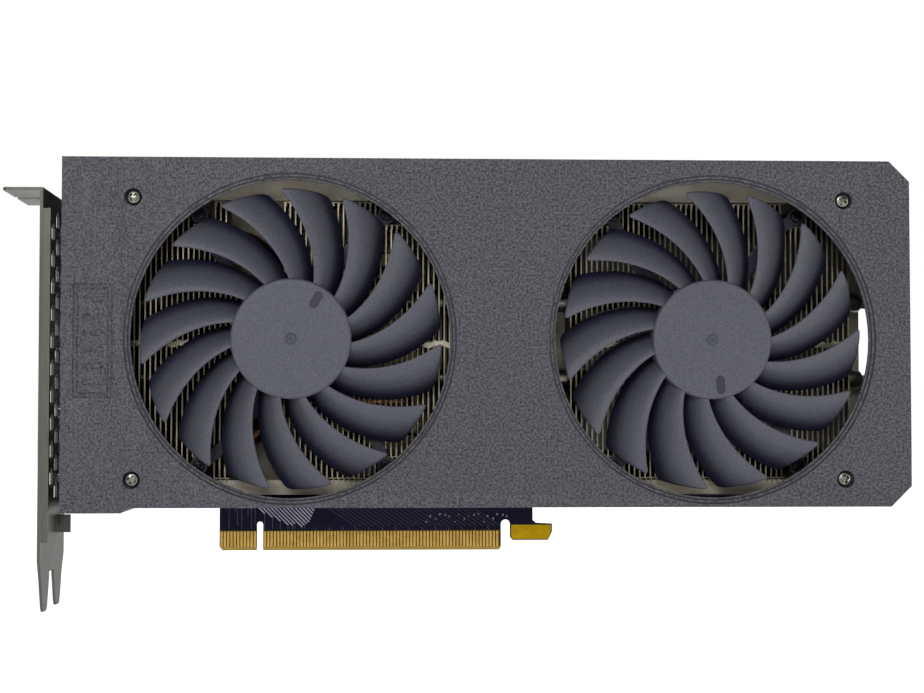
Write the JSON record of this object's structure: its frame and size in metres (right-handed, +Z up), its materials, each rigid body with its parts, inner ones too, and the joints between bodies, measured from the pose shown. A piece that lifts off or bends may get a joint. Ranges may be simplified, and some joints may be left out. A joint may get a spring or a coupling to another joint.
{
  "type": "graphics card",
  "caption": "Two-slot graphics card with a plain twin-fan cooler, finned heatsink with heat pipes, vented slot bracket and keyed gold edge connector.",
  "frame": {"origin": "middle of the key notch at the foot of the gold edge connector, on the board's component face", "axes": "+X along the card from the bracket to the free end, +Y from the fans towards the back of the board, +Z up out of the slot"},
  "size_m": [0.2586, 0.0409, 0.1287],
  "materials": {
    "bracket_steel": "satin nickel plate over steel",
    "nickel_screw": "bright nickel plate",
    "black_screw": "black oxide",
    "board_laminate": "dark blue-black solder mask",
    "contact_gold": "hard gold plate",
    "hook_gold": "gold plate over mask, deep yellow",
    "backplate_paint": "fine matt black paint",
    "white_nylon": "natural nylon",
    "shroud_grain": "dark grey with a fine even grain",
    "frame_aluminium": "pressed sheet, satin",
    "fin_aluminium": "bright rolled sheet",
    "pipe_copper": "drawn copper, part nickel plated",
    "plated_copper": "machined copper",
    "package_green": "package laminate",
    "silicon": "polished silicon",
    "chip_epoxy": "moulded epoxy",
    "pad_silicone": "soft silicone pad",
    "ferrite": "pressed ferrite",
    "can_aluminium": "drawn can",
    "spring_steel": "rolled spring steel",
    "socket_nylon": "black glass-filled nylon",
    "tinned_pin": "tin plate",
    "socket_shell": "nickel-plated shell",
    "header_nylon": "ivory nylon",
    "fan_frame_plastic": "blue-black moulding",
    "fan_plastic": "blue-grey moulding, fine grain",
    "winding_copper": "enamelled copper over laminations",
    "bearing_bronze": "sintered bronze",
    "shaft_steel": "ground steel",
    "magnet_compound": "bonded ferrite"
  },
  "bodies": {
    "card": {"bracket": "bracket_steel", "bracket_screws": "nickel_screw", "circuit_board": "board_laminate", "edge_fingers": "contact_gold", "hook_plating": "hook_gold", "backplate": "backplate_paint", "backplate_screws": "nickel_screw", "backplate_spacers": "white_nylon", "shroud": "shroud_grain", "shroud_screws": "nickel_screw", "heatsink_frame": "frame_aluminium", "fin_stack_left": "fin_aluminium", "fin_stack_right": "fin_aluminium", "fin_clips_left": "fin_aluminium", "fin_clips_right": "fin_aluminium", "heatpipe_upper": "pipe_copper", "heatpipe_lower": "pipe_copper", "heatpipe_bent_top": "pipe_copper", "heatpipe_bent_bottom": "pipe_copper", "cold_plate": "plated_copper", "gpu_package": "package_green", "gpu_die": "silicon", "memory_chips": "chip_epoxy", "thermal_pads": "pad_silicone", "power_chokes": "ferrite", "power_stages": "chip_epoxy", "capacitors": "can_aluminium", "small_chips": "chip_epoxy", "retention_plate": "spring_steel", "gpu_screws": "nickel_screw", "spring_washers": "spring_steel", "power_socket": "socket_nylon", "power_pins": "tinned_pin", "wide_video_sockets": "socket_shell", "wide_video_tongues": "socket_nylon", "narrow_video_socket": "socket_shell", "narrow_video_tongue": "socket_nylon", "fan_headers": "header_nylon", "fan_standoffs": "frame_aluminium", "fan_frame_left": "fan_frame_plastic", "fan_frame_right": "fan_frame_plastic", "fan_screws": "black_screw", "fan_stator_left": "winding_copper", "fan_stator_right": "winding_copper", "fan_bearing_left": "bearing_bronze", "fan_bearing_right": "bearing_bronze"},
    "fan_left": {"fan_rotor_left": "fan_plastic", "fan_shaft_left": "shaft_steel", "fan_magnet_left": "magnet_compound"},
    "fan_right": {"fan_rotor_right": "fan_plastic", "fan_shaft_right": "shaft_steel", "fan_magnet_right": "magnet_compound"}
  },
  "joints": [
    {"name": "fan_left_spin", "type": "hinge", "parent": "card", "child": "fan_left", "pos_m": [0.01075, -0.03, 0.06227], "axis": [0, -1, 0], "continuous": true},
    {"name": "fan_right_spin", "type": "hinge", "parent": "card", "child": "fan_right", "pos_m": [0.13106, -0.03, 0.06227], "axis": [0, -1, 0], "continuous": true}
  ]
}
